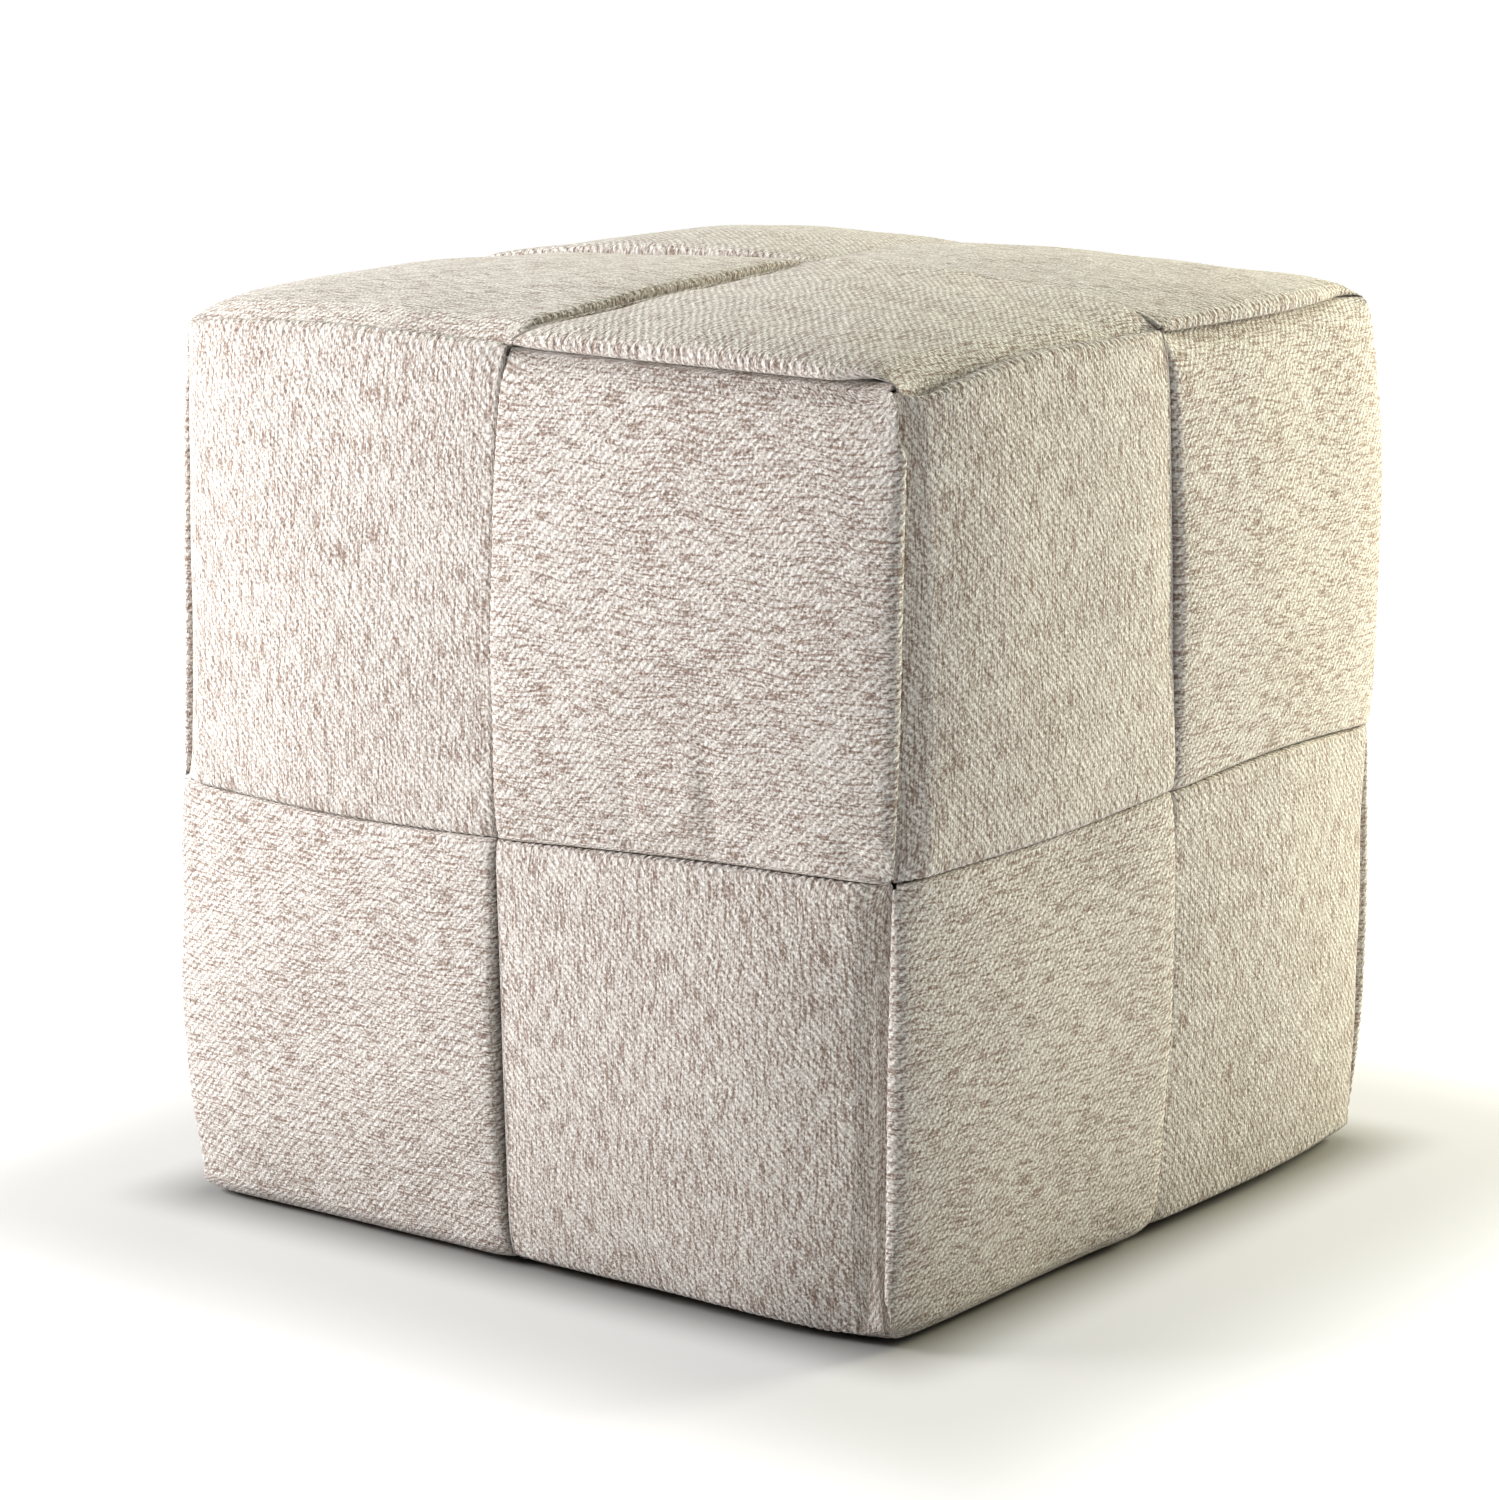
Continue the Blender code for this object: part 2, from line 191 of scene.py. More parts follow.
# Sampling: sections along a band, points round a section, and quads on the filled body.
COURSE_SAMPLES = 5        # sections to each rib
LEAST_CORNER_SECTIONS = 6
SHOULDER_SECTIONS = 9
NEST_SECTIONS = 8
TUCKED_SECTIONS = 6
ROLL_POINTS = 9
OUTER_POINTS = 42
INNER_POINTS = 5
LINING_CELLS = 36         # quads along a side of the filled body
WELD_DISTANCE = 0.01 * MM
TINY = 1e-9               # least length to divide by

# Columns of a section's row, after its outer and its inner point.
NEAR, FAR_OUTER, FAR_INNER, CROWN, LINE_SHARE, ON_TOP = range(4, 10)

# Columns of the row of a point on the ring round a section, and the parts of the ring.
PART, HEIGHT_SHARE, DRAWN, WAY, SIDE, UP = range(6)
FAR_ROLL, OUTSIDE, NEAR_ROLL, INSIDE = range(4)

# The weave of the chenille: sizes are given along the band first, and then across it.
YARNS_TO_RIB = 3
STITCH_LENGTH = 1.6 * MM
STITCH_SLANT = -0.35      # the minus leans a stitch forwards, by this share of a yarn
STITCH_RANDOM = 0.9       # how far the stitches stray from even rows
TWILL_REPEAT = -4.5 * MM  # across the band; the minus leans the twill's ridges forwards
WOBBLE = (0.2, 1.0)       # how far a stitch is moved from its place, in yarns
WOBBLE_SIZE = (5.0 * MM, 7.0 * MM)
STREAK_SIZE = (1.05 * MM, 11.0 * MM)  # stretches of thread of one tone
RUN_SIZE = (2.4, 24.0 * MM)  # longer stretches over several yarns: yarns along, metres across
PATCH_SIZE = (45.0 * MM, 70.0 * MM)
SPECK_SIZE = (0.95 * MM, 1.35 * MM)  # random specks, painted as a highlight on pale pile and as shade in dark hollows
SPECK_RAMP = (0.38, 0.62)

# How much each pattern counts towards the taupe, and between which sums it takes over.
TAUPE_SHARES = {"streaks": 0.60, "runs": 0.18, "tone": 0.08, "specks": -0.08, "patches": 0.08}
TAUPE_RAMP = (0.36, 0.56)

# The pile's height at a stitch's middle and on the twill's ridges, where the top of the pile
# begins and ends, how much each pattern counts towards the painted light and shade multiplied into
# the colour, and the painted shade of the hollows. The top of the pile gets a painted highlight,
# the twill's troughs and dark specks painted shade, and each stitch's random tone counts too.
STITCH_PILE = 0.9
TWILL_PILE = 0.3
TIP_RAMP = (0.25, 0.95)
PILE_RELIEF = 0.45 * MM
PAINTED_LIGHT_SHARES = {"painted_tip_highlight": 0.18, "specks": 0.40, "twill": 0.32, "tone": 0.10}
PAINTED_HOLLOW_SHADE = (0.36, 0.32, 0.29, 1.0)
WHITE = (1.0, 1.0, 1.0, 1.0)

# Each band wears another part of the cloth: ribs along it and metres across it to the next one.
CLOTH_STEP = (500, 0.7)

# The lining: its mottle's size, threads to a metre, their relief, and how dark the mottle gets.
LINING_MOTTLE = 8.0 * MM
LINING_THREADS = 900.0
LINING_RELIEF = 0.3 * MM
LINING_DARK = 0.7

# The floor, in metres: half its side, and where its two ramps of glow begin and end. The glow is
# painted light, for the floor is no lamp, and its dim ring next to the stool is a painted shadow.
FLOOR_HALF = 30.0
GLOW_NEAR = (0.185, 0.235)
GLOW_FAR = (0.25, 0.43)
GLOW_CORNER = 0.05        # how round the glow's edge is at the stool's corners
GLOW_NEAR_SHARE = 0.42    # the near ramp's share of the glow

# Soft square lamps: place and side in metres, and power in watts. All aim at one point.
LIGHT_AIM = (0.0, 0.0, 0.2)
Light = namedtuple("Light", "name place size power colour")
LIGHTS = (
    Light("left_front", (-1.3, -1.0, 0.9), 0.8, 11.0, (1.0, 0.92, 0.88)),
    Light("left_near", (-0.75, -0.8, 0.6), 0.4, 10.2, (0.98, 0.95, 0.97)),
    Light("left_graze", (-0.85, -0.45, 0.5), 0.4, 4.6, (0.95, 0.98, 1.0)),
    Light("right_near", (0.6, 1.0, 0.55), 0.4, 20.0, (1.0, 0.95, 0.70)),
    Light("overhead", (0.0, 0.2, 1.9), 1.0, 17.0, (0.97, 1.0, 0.88)),
    Light("top_back", (0.2, 1.5, 1.3), 1.0, 4.0, (1.0, 1.0, 1.0)),
)
WORLD_STRENGTH = 0.05

# The photograph's viewing angle: degrees for the turns, metres for the distance and the aim, and
# the focal length in pixels of the photograph.
VIEW_YAW = 36.3
VIEW_PITCH = 11.92
VIEW_ROLL = 0.05
VIEW_DISTANCE = 2.22
VIEW_SIDEWAYS = -0.0188
VIEW_HEIGHT = 0.196
FOCAL_PIXELS = 4900.0
PHOTO_LONG_SIDE = 1500
SENSOR_WIDTH = 36.0       # millimetres


class PoufSizes(bpy.types.PropertyGroup):
    """Sizes of the cloth that a user may change."""
    rib_pitch: FloatProperty(
        name="Rib pitch", description="Distance from one rib of the cloth to the next",
        default=4.2 * MM, min=2.0 * MM, max=8.0 * MM, precision=4, unit="LENGTH")
    rib_depth: FloatProperty(
        name="Rib depth", description="Depth of the groove between two ribs on a rolled edge",
        default=0.55 * MM, min=0.0, max=1.5 * MM, precision=5, unit="LENGTH")
    unevenness: FloatProperty(
        name="Unevenness", description="Height of the gentle waves in the padding",
        default=0.45 * MM, min=0.0, max=2.0 * MM, precision=5, unit="LENGTH")
    rib_wander: FloatProperty(
        name="Rib wander", description="How far a rib strays from a straight line",
        default=0.9 * MM, min=0.0, max=3.0 * MM, precision=5, unit="LENGTH")


class PoufColours(bpy.types.PropertyGroup):
    """Colours of the cloth and the stage that a user may change."""
    ivory: FloatVectorProperty(
        name="Ivory", description="Pale pile of the chenille",
        default=(0.90, 0.88, 0.84), min=0.0, max=1.0, subtype="COLOR")
    taupe: FloatVectorProperty(
        name="Taupe", description="Darker thread that shows as flecks",
        default=(0.42, 0.33, 0.28), min=0.0, max=1.0, subtype="COLOR")
    lining: FloatVectorProperty(
        name="Lining", description="Cloth of the filled body inside the bands",
        default=(0.50, 0.44, 0.38), min=0.0, max=1.0, subtype="COLOR")
    floor: FloatVectorProperty(
        name="Floor", description="Plain pale floor",
        default=(0.30, 0.30, 0.29), min=0.0, max=1.0, subtype="COLOR")


def pad_of(face):
    """Thickness of the top layer on a face."""
    return PAD_UNDERSIDE if face[2] < 0 else PAD


def tuck_outer(face):
    """Distance from the cube's centre to the outside of the tucked layer."""
    return HALF - pad_of(face) - GAP


def tuck_inner(face):
    """Distance from the cube's centre to the inside of the tucked layer."""
    return tuck_outer(face) - TUCK


def round_between(one, other):
    """Outer radius of the band where it turns from one face to the other."""
    return ROUND_UNDERSIDE if min(one[2], other[2]) < 0 else ROUND


def cell_name(face, corner):
    """Words for the cell on a face that lies towards a corner of the cube."""
    face_word = FACE_WORDS.get(tuple(face), "hidden")
    side_words = ((2, "bottom", "top"), (1, "near", "far"), (0, "left", "right"))
    words = [high if corner[i] > 0 else low for i, low, high in side_words if face[i] == 0]
    return " ".join([face_word] + words)


def cell_at(face, corner):
    """The padding of the cell on a face that lies towards a corner of the cube."""
    if face[2] < 0:
        return UNDERSIDE_CELL
    return CELLS.get(cell_name(face, corner), OTHER_CELL)


def swell(along):
    """Share of a swelling: the sine of half a turn over a cell, none at both ends."""
    return np.sin(np.pi * np.clip(np.abs(along) / HALF, 0.0, 1.0))


def falling(distance, width):
    """One at no distance, and down to none at the width with the square of what is left."""
    return np.clip(1 - distance / width, 0.0, 1.0) ** 2


def turned(centre, radius, degrees):
    """Points on a circle: the centre plus the radius times cosine and sine of the angle."""
    angle = np.radians(degrees)
    return np.stack([centre[0] + radius * np.cos(angle), centre[1] + radius * np.sin(angle)], 1)


def squarish(degrees, squareness):
    """Cosine and sine of an angle, raised to two over the squareness with their signs kept: a
    circle for a squareness of two, and a square with rounder and rounder corners above it."""
    angle = np.radians(degrees)
    sides = np.stack([np.cos(angle), np.sin(angle)])
    return np.sign(sides) * np.abs(sides) ** (2 / squareness)


def through(low, middle, high, part):
    """The quadratic curve through three values, at a part from -1 to 1 of the way."""
    return middle * (1 - part ** 2) + part * ((high - low) + (high + low) * part) / 2


def far_edge(face, cell, travelled):
    """Distance from the middle line to the free edge nearest the cube's edge, for the top layer:
    it draws out or in from its start with the square of the length still to go."""
    if face[2] < 0:
        return np.full_like(travelled, HALF - FAR_OPEN_UNDERSIDE)
    to_go = np.maximum(1 - travelled / START_LENGTH, 0.0) ** 2
    return HALF - FAR_OPEN - (cell.far_start * MM - FAR_OPEN) * to_go


def table(*columns):
    """The columns side by side. A single value fills its column."""
    return np.column_stack(np.broadcast_arrays(*columns))


def stretch(outer, inner, near, far_outer, far_inner, crown=0.0, line_share=0.0, on_top=0.0):
    """One row for each section: its outer and its inner point, as (along, out), its free edge near
    the middle line, its other free edge outside and inside, its crown, how far it follows the line
    it dips at, and how far it lies on top."""
    return table(*outer.T, *inner.T, near, far_outer, far_inner, crown, line_share, on_top)


def corner_stretch(previous, face, cell, far_tuck, spacing):
    """The band comes up from under the previous face's top layer, round the cube's edge: a
    quarter circle outside, and inside a smaller one and then a straight run up to level with it.
    Its free edges draw out with its height, and its crown grows with the sine of the turn."""
    fillet = TUCK / 2 + GAP
    radius = round_between(previous, face)
    count = max(int(round(radius * math.pi / 2 / spacing)), LEAST_CORNER_SECTIONS)
    angle = np.linspace(0.0, 90.0, count, endpoint=False)
    outer_centre = (radius - tuck_outer(previous), HALF - radius)
    outer = turned(outer_centre, radius, 180 - angle)
    inner_centre = (fillet - tuck_inner(previous), HALF - pad_of(face) - fillet)
    arc = fillet * math.pi / 2
    gone = (arc + outer_centre[0] - inner_centre[0]) * angle / 90
    inner = turned(inner_centre, fillet, 180 - 90 * np.minimum(gone / arc, 1.0))
    inner[:, 0] += np.maximum(gone - arc, 0.0)
    above = outer[:, 1] - (HALF - pad_of(face))
    bow = swell(outer[:, 0])
    on_top = np.sin(np.radians(angle))
    near_share = np.clip((above + NEAR_EARLY) / NEAR_RISE, 0.0, 1.0)
    near_open = NEAR_OPEN + (cell.slit - cell.near_bow) * MM * bow
    near = NEAR_TUCK + (near_open - NEAR_TUCK) * near_share
    far_share = np.clip(above / (FAR_RISE * pad_of(face)), 0.0, 1.0)
    far_open = far_edge(face, cell, np.zeros(count)) + cell.far_bow * MM * bow
    far_outer = far_tuck + (far_open - far_tuck) * far_share
    crown = cell.crown * MM * bow * on_top
    return stretch(outer, inner, near, far_outer, far_tuck, crown, on_top=on_top)


def top_stretch(previous, face, cell, far_tuck, spacing):
    """The band lies on top: straight sections whose crown and free edges swell with the sine."""
    start = round_between(previous, face) - tuck_outer(previous)
    end = NEAR_OPEN - GAP - pad_of(face) / 2
    count = int(round((end - start) / spacing))
    station = np.linspace(0.0, 1.0, count, endpoint=False)
    along = start + (end - start) * station
    near = NEAR_OPEN + (cell.slit - cell.near_bow) * MM * swell(along)
    far = far_edge(face, cell, along - start) + cell.far_bow * MM * swell(along)
    far_inner = far_tuck + (far - far_tuck) * np.clip(station / INSIDE_SETTLE, 0.0, 1.0)
    line_share = np.maximum((station - LINE_START) / (1 - LINE_START), 0.0)
    outer = np.column_stack([along, np.full(count, HALF)])
    inner = np.column_stack([along, np.full(count, HALF - pad_of(face))])
    crown = cell.crown * MM * swell(along)
    return stretch(outer, inner, near, far, far_inner, crown, line_share, on_top=1.0)


def dip_stretch(face, cell, far_tuck):
    """The band dips under its neighbour: a round shoulder of half a pad's radius, then a hollow
    of that radius and a gap round the neighbour's free edge."""
    far_open = far_edge(face, cell, np.full(SHOULDER_SECTIONS, START_LENGTH))
    half_pad = pad_of(face) / 2
    shoulder = (NEAR_OPEN - SEEN_GAP - half_pad, HALF - half_pad)
    nest = (NEAR_OPEN + half_pad, HALF - half_pad)
    inner_radius = half_pad + GAP + TUCK
    inner_start = 180 + math.degrees(math.asin(half_pad / inner_radius))
    inner_edge = turned(nest, inner_radius, np.array([inner_start]))[0]
    part = np.linspace(0.0, 1.0, SHOULDER_SECTIONS, endpoint=False)
    level, raised = squarish(90 - 90 * part, SEAM_SQUARENESS)
    outer = np.column_stack([shoulder[0] + half_pad * level, shoulder[1] + half_pad * raised])
    inner = np.column_stack([inner_edge[0] - SHOULDER_LEAN * (1 - part),
                             np.full(SHOULDER_SECTIONS, inner_edge[1])])
    over = stretch(outer, inner, NEAR_OPEN, far_open, far_tuck, line_share=1.0, on_top=1 - part)
    part = np.linspace(0.0, 1.0, NEST_SECTIONS, endpoint=False)
    outer = turned(nest, half_pad + GAP, 180 + 90 * part)
    inner = turned(nest, inner_radius, inner_start + (270 - inner_start) * part)
    under = stretch(outer, inner, NEAR_TUCK, far_tuck, far_tuck, line_share=1.0)
    return np.vstack([over, under])


def tucked_stretch(face, following, far_tuck):
    """The thin straight stretch below a neighbour, as far as the cube's next edge."""
    start = NEAR_OPEN + pad_of(face) / 2
    outer_end = HALF - round_between(face, following)
    inner_end = HALF - pad_of(following) - TUCK / 2 - GAP
    station = np.linspace(0.0, 1.0, TUCKED_SECTIONS, endpoint=False)
    flat = np.ones(TUCKED_SECTIONS)
    outer = np.column_stack([start + (outer_end - start) * station, flat * tuck_outer(face)])
    inner = np.column_stack([start + (inner_end - start) * station, flat * tuck_inner(face)])
    line_share = np.maximum(1 - LINE_FADE * station, 0.0)
    return stretch(outer, inner, NEAR_TUCK, far_tuck, far_tuck, line_share=line_share)


def ring_layout():
    """The points round one section: a squarish half circle at each free edge, and straight lines
    outside and inside. Columns: the part of the ring, the height from the inside to the outside,
    one minus the roll's cosine, the share of the way across, and where the cloth faces (side, up).
    """
    angle = np.linspace(-90.0, 90.0, ROLL_POINTS)
    side = np.cos(np.radians(angle))
    up = np.sin(np.radians(angle))
    level, raised = squarish(angle, EDGE_SQUARENESS)
    far_roll = table(FAR_ROLL, (1 + raised) / 2, 1 - level, 1.0, side, up)
    level, raised = squarish(angle, SEAM_SQUARENESS)
    near_roll = table(NEAR_ROLL, (1 + raised) / 2, 1 - level, 0.0, -side, up)[::-1]
    way = np.linspace(1.0, 0.0, OUTER_POINTS + 2)[1:-1]
    outside = table(OUTSIDE, 1.0, 0.0, way, 0.0, 1.0)
    way = np.linspace(0.0, 1.0, INNER_POINTS + 2)[1:-1]
    inside = table(INSIDE, 0.0, 0.0, way, 0.0, -1.0)
    return np.vstack([far_roll, outside, near_roll, inside])


def section_grid(rows, layout):
    """Across and height for each point of each section. On a roll the edge is drawn in by the
    roll's radius times one minus the cosine, elsewhere the points are spaced evenly between the
    rolls."""
    outer, inner = rows[:, 0:2], rows[:, 2:4]
    near, far_outer, far_inner = (rows[:, i, None] for i in (NEAR, FAR_OUTER, FAR_INNER))
    roll = np.minimum(np.linalg.norm(outer - inner, axis=1) / 2, PAD / 2)[:, None]
    part, height, drawn, way = (layout[None, :, i] for i in (PART, HEIGHT_SHARE, DRAWN, WAY))
    far_at = far_inner + (far_outer - far_inner) * height - roll * drawn
    near_at = near + roll * drawn
    outside = near + roll + (far_outer - near - 2 * roll) * way
    inside = near + roll + (far_inner - near - 2 * roll) * way
    across = np.select([part == FAR_ROLL, part == OUTSIDE, part == NEAR_ROLL],
                       [far_at, outside, near_at], inside)
    return across, np.broadcast_to(height, across.shape)


def waves_over(along, across, generator, height):
    """Sum of a few gentle sine waves in random directions, with random lengths and starts."""
    total = np.zeros(along.shape)
    for _wave in range(WAVES):
        direction = generator.uniform(0, 2 * np.pi)
        length = generator.uniform(*WAVE_LENGTHS)
        phase = generator.uniform(0, 2 * np.pi)
        way = along * np.cos(direction) + across * np.sin(direction)
        total += np.sin(2 * np.pi * way / length + phase)
    return height * total / math.sqrt(WAVES)


def dents_over(name, along, across):
    """Depth of all the dents of a cell: a bell curve in each direction, turned in its plane."""
    total = np.zeros(along.shape)
    for dent in DENTS.get(name, ()):
        forward = (along + HALF) - dent.along * HALF
        sideways = across - dent.across * HALF
        turn = math.radians(dent.turn)
        lengthways = forward * math.cos(turn) + sideways * math.sin(turn)
        crossways = sideways * math.cos(turn) - forward * math.sin(turn)
        bell = np.exp(-(lengthways / (dent.long * MM)) ** 2 - (crossways / (dent.wide * MM)) ** 2)
        total += dent.depth * MM * bell
    return total


def droop_over(cell, rows, along, across):
    """How much lower a cell lies at both of its free edges, where it starts, and where it dips:
    each falls off with the square of what is left of its width. The start's grows straight from
    the middle line, and the dip's swells with the sine across the band."""
    near, far = rows[:, NEAR, None], rows[:, FAR_OUTER, None]
    at_edges = (NEAR_DROOP * falling(across - near, NEAR_DROOP_WIDTH)
                + FAR_DROOP * falling(far - across, FAR_DROOP_WIDTH))
    at_start = (cell.start_sink * MM * falling(along + HALF, START_SINK_WIDTH)
                * np.clip((across - near) / START_SINK_RISE, 0.0, 1.0))
    at_dip = cell.sink * MM * falling(-along, SINK_WIDTH) * swell(across)
    return at_edges + at_start + at_dip


def lift_over(name, cell, rows, along, across, height, sizes, generator):
    """How far the outside of a cell stands out: its crown, of which a parabola leaves a share at
    the edges and all in the middle, less its droop, plus its waves, less its dents."""
    crown, on_top = rows[:, CROWN, None], rows[:, ON_TOP, None]
    unevenness = 0.0 if cell is UNDERSIDE_CELL else sizes.unevenness
    middle = np.maximum(1 - (2 * across / HALF - 1) ** 2, 0.0)
    lift = crown * height * (FLAT_SHARE + (1 - FLAT_SHARE) * middle)
    lift -= droop_over(cell, rows, along, across) * on_top * height
    lift += waves_over(along, across, generator, unevenness) * on_top * height
    lift -= dents_over(name, along, across) * on_top * height
    return lift


def ribs_over(rows, layout, across, first, sizes, generator):
    """How deep the groove between two ribs is: one minus the size of the sine of half a turn to
    each rib, times the rib's own strength. It is full on the rolled edges, has a share of that on
    the flat, and is none inside."""
    near, far = rows[:, NEAR, None], rows[:, FAR_OUTER, None]
    rib = (first + np.arange(len(rows))) / COURSE_SAMPLES
    groove = 1 - np.abs(np.sin(np.pi * rib))
    strength = generator.uniform(*RIB_STRENGTHS, int(rib[-1]) + 2)[rib.astype(int)]
    from_edge = np.minimum(across - near, far - across)
    edge_share = np.maximum(np.abs(layout[:, SIDE]),
                            np.clip(1 - from_edge / RIB_EDGE_WIDTH, 0.0, 1.0))
    depth = RIB_FLAT_SHARE + (1 - RIB_FLAT_SHARE) * edge_share
    shown = np.where(layout[:, PART] == INSIDE, 0.0, 1.0)
    return sizes.rib_depth * (groove * strength)[:, None] * depth * rows[:, ON_TOP, None] * shown


def outwards(rows):
    """The direction at right angles to the outer curve at each section, from the differences
    between its points."""
    course = np.gradient(rows[:, 0:2], axis=0)
    course /= np.linalg.norm(course, axis=1, keepdims=True)
    return np.column_stack([-course[:, 1], course[:, 0]])


def quarter_points(name, cell, rows, cover, layout, first, sizes, generator):
    """One quarter of a band in its own plane, as (along, out, across) for each point of each
    section. A point lies between the inner and the outer point by its height, and is lifted and
    drawn in at right angles to the outer curve. The ribs then stray along the band in waves, and
    where the band dips it follows the bow of the edge that covers it."""
    across, height = section_grid(rows, layout)
    outer, inner = rows[:, None, 0:2], rows[:, None, 2:4]
    line_share, on_top = rows[:, LINE_SHARE, None], rows[:, ON_TOP, None]
    plane = inner + (outer - inner) * height[..., None]
    from_start = plane[..., 0] + HALF
    lift = lift_over(name, cell, rows, plane[..., 0], across, height, sizes, generator)
    drawn_in = ribs_over(rows, layout, across, first, sizes, generator)
    out_move = lift - drawn_in * np.maximum(layout[:, UP], 0.0)
    plane = plane + outwards(rows)[:, None, :] * out_move[..., None]
    across = across - drawn_in * layout[:, SIDE]
    wander = waves_over(plane[..., 0] * WANDER_SHORTER, across * WANDER_SHORTER, generator,
                        sizes.rib_wander)
    fade = np.clip(np.minimum(-plane[..., 0], from_start) / WANDER_FADE, 0.0, 1.0)
    plane[..., 0] += wander * on_top ** 2 * fade
    plane[..., 0] -= cover.near_bow * MM * line_share * swell(across)
    return np.concatenate([plane, across[..., None]], axis=2)


def gathered(points):
    """Points drawn together where several bands meet: at the middle of each face, at the middle of
    each edge of the cube and at each corner. A point moves towards the meeting place by a share
    that falls with the square of its distance as a bell curve, so no two points change places."""
    moved = points.copy()
    for meeting in MEETINGS:
        kinds = [signs for signs in np.ndindex(3, 3, 3)
                 if sum(sign != 1 for sign in signs) == meeting.sides]
        for signs in kinds:
            centre = (np.array(signs) - 1.0) * meeting.depth * MM
            away = moved - centre
            reach = (away ** 2).sum(axis=-1, keepdims=True) / (meeting.reach * MM) ** 2
            moved -= away * meeting.pull * np.exp(-reach)
    return moved


def swollen(points):
    """Points of the plain cube, moved as the filling swells the faces and the middle lines lie:
    each swelling falls to nothing at the cube's edges with one minus the square of the part, and
    the sides' middle line hangs by quadratic curves through its named depths."""
    moved = gathered(points)
    part = moved / HALF
    flat = np.maximum(0.0, 1 - part ** 2)
    sideways = np.where(part[..., 0] < 0, BULGE_LEFT, BULGE_SIDE)
    moved[..., 0] += sideways * part[..., 0] * flat[..., 1] * flat[..., 2]
    moved[..., 0] -= MIDDLE_LEFT * flat[..., 0]
    moved[..., 1] += BULGE_SIDE * part[..., 1] * flat[..., 0] * flat[..., 2]
    moved[..., 1] += MIDDLE_BACK * flat[..., 1]
    top = np.where(part[..., 2] > 0, part[..., 2] ** 2, 0.0) * flat[..., 0] * flat[..., 1]
    moved += top[..., None] * np.array([TOP_RIGHT, TOP_BACK, BULGE_TOP])
    rows = [through(*row, part[..., 0]) for row in MIDDLE_HANG]
    hang = through(*rows, part[..., 1])
    moved[..., 2] += HALF - hang * MM * flat[..., 2]
    moved[..., 0:2] *= WIDTH_SHARE
    return moved + np.array(CENTRING)


def band_points(band, sizes):
    """All points of a band in the world, section after section round the cube."""
    generator = np.random.default_rng(SEED + BANDS.index(band))
    spacing = sizes.rib_pitch / COURSE_SAMPLES
    layout = ring_layout()
    axis = np.array(band.axis)
    face = np.array(band.first_face)
    travel = np.array(band.travel)
    far_tuck = tuck_inner(axis) - GAP
    quarters = []
    first = 0
    for _quarter in range(4):
        previous = -travel
        corner = face - travel + axis
        cell = cell_at(face, corner)
        cover = cell_at(face, face + travel + axis)
        rows = np.vstack([
            corner_stretch(previous, face, cell, far_tuck, spacing),
            top_stretch(previous, face, cell, far_tuck, spacing),
            dip_stretch(face, cell, far_tuck),
            tucked_stretch(face, travel, far_tuck)])
        name = cell_name(face, corner)
        points = quarter_points(name, cell, rows, cover, layout, first, sizes, generator)
        basis = np.stack([travel, face, axis]).astype(float)
        quarters.append(swollen(points @ basis))
        first += len(rows)
        face, travel = travel, -face
    return np.vstack(quarters)


def across_lengths():
    """Length round a section from its first point to each point and back to the first, for the
    cloth's own map: half circles of the roll at both edges and flat stretches between them."""
    arc = np.full(ROLL_POINTS - 1, PAD / 2 * np.pi / (ROLL_POINTS - 1))
    outer = np.full(OUTER_POINTS + 1, (HALF - PAD) / (OUTER_POINTS + 1))
    inner = np.full(INNER_POINTS + 1, (HALF - PAD) / (INNER_POINTS + 1))
    return np.concatenate([[0.0], np.cumsum(np.concatenate([arc, outer, arc, inner]))])


def closed_grid_mesh(name, points, along, across):
    """Mesh of a grid that closes on itself both ways. Its map has the along and across lengths."""
    rows, columns = points.shape[:2]
    row, column = np.meshgrid(np.arange(rows), np.arange(columns), indexing="ij")
    next_row = (row + 1) % rows
    next_column = (column + 1) % columns
    corners = [row * columns + column, row * columns + next_column,
               next_row * columns + next_column, next_row * columns + column]
    quads = np.stack(corners, axis=2).reshape(-1, 4)
    mesh = bpy.data.meshes.new(name)
    mesh.from_pydata(points.reshape(-1, 3).tolist(), [], quads.tolist())
    u = np.stack([along[row], along[row], along[row + 1], along[row + 1]], axis=2)
    v = np.stack([across[column], across[column + 1], across[column + 1], across[column]], axis=2)
    layer = mesh.uv_layers.new(name="cloth_lay")
    layer.data.foreach_set("uv", np.stack([u, v], axis=3).astype(np.float32).ravel())
    return mesh


